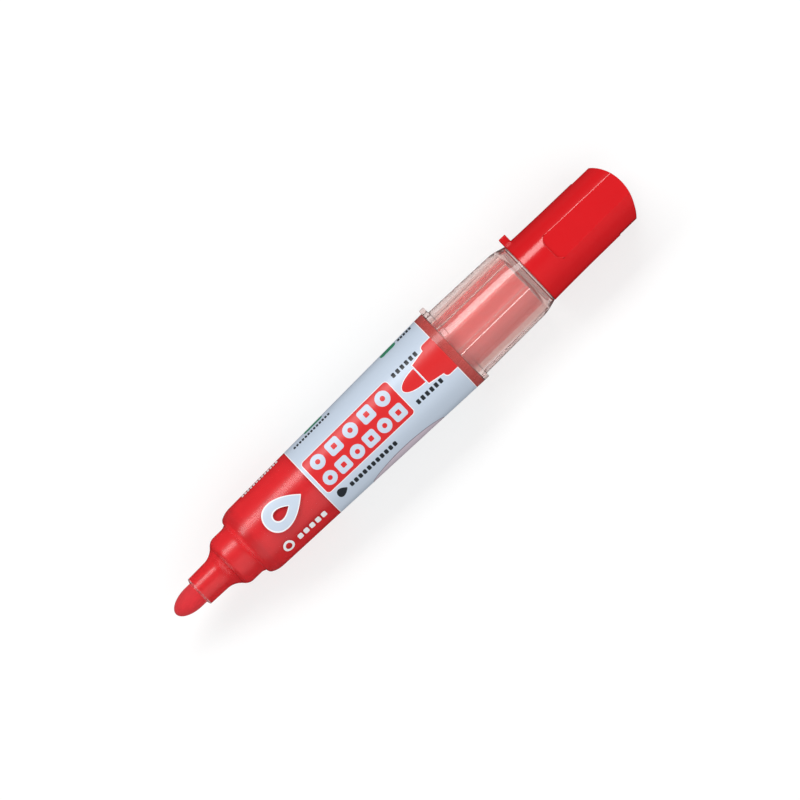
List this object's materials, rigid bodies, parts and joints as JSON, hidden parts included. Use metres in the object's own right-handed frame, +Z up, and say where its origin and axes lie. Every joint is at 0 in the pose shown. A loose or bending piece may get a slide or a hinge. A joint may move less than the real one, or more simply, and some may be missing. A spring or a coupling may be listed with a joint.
{
  "type": "whiteboard marker",
  "caption": "Refillable whiteboard marker with a bullet nib, clear barrel, ink cartridge, ribbed clear tail and a cap posted on the tail.",
  "frame": {"origin": "on the marker's axis, at the root of the straight neck that the cap seats on", "axes": "+X along the axis from the nib to the tail, +Y to the side of the anti-roll lugs, +Z up with the marker lying on its barrel"},
  "size_m": [0.1488, 0.0227, 0.022],
  "materials": {
    "nib_fibre": "bonded fibre soaked with ink",
    "clear_plastic": "clear moulded, polished",
    "red_plastic": "glossy moulded",
    "label_film": "printed film, satin",
    "white_plastic": "natural moulded",
    "cartridge_plastic": "translucent moulded",
    "stopper_rubber": "matt moulded",
    "red_ink": "liquid"
  },
  "bodies": {
    "barrel": {"nib": "nib_fibre", "front_barrel": "clear_plastic", "nib_holder": "red_plastic", "feed_housing": "red_plastic", "collector": "white_plastic", "feed_wick": "nib_fibre", "twin_pipe_feeder": "white_plastic", "label": "label_film"},
    "cartridge": {"cartridge_tube": "cartridge_plastic", "cartridge_stopper": "stopper_rubber", "ink": "red_ink"},
    "tail": {"tail_barrel": "clear_plastic"},
    "cap": {"cap": "red_plastic", "inner_cap": "white_plastic"}
  },
  "joints": [
    {"name": "tail_draw", "type": "slide", "parent": "barrel", "child": "tail", "axis": [1, 0, 0], "range_m": [0, 0.075]},
    {"name": "cartridge_draw", "type": "slide", "parent": "barrel", "child": "cartridge", "axis": [1, 0, 0], "range_m": [0, 0.025]},
    {"name": "cap_pull", "type": "slide", "parent": "tail", "child": "cap", "axis": [1, 0, 0], "range_m": [0, 0.03]}
  ],
  "couplings": [
    {"joint": "cartridge_draw", "follows": "tail_draw", "ratio": 0.33333}
  ]
}
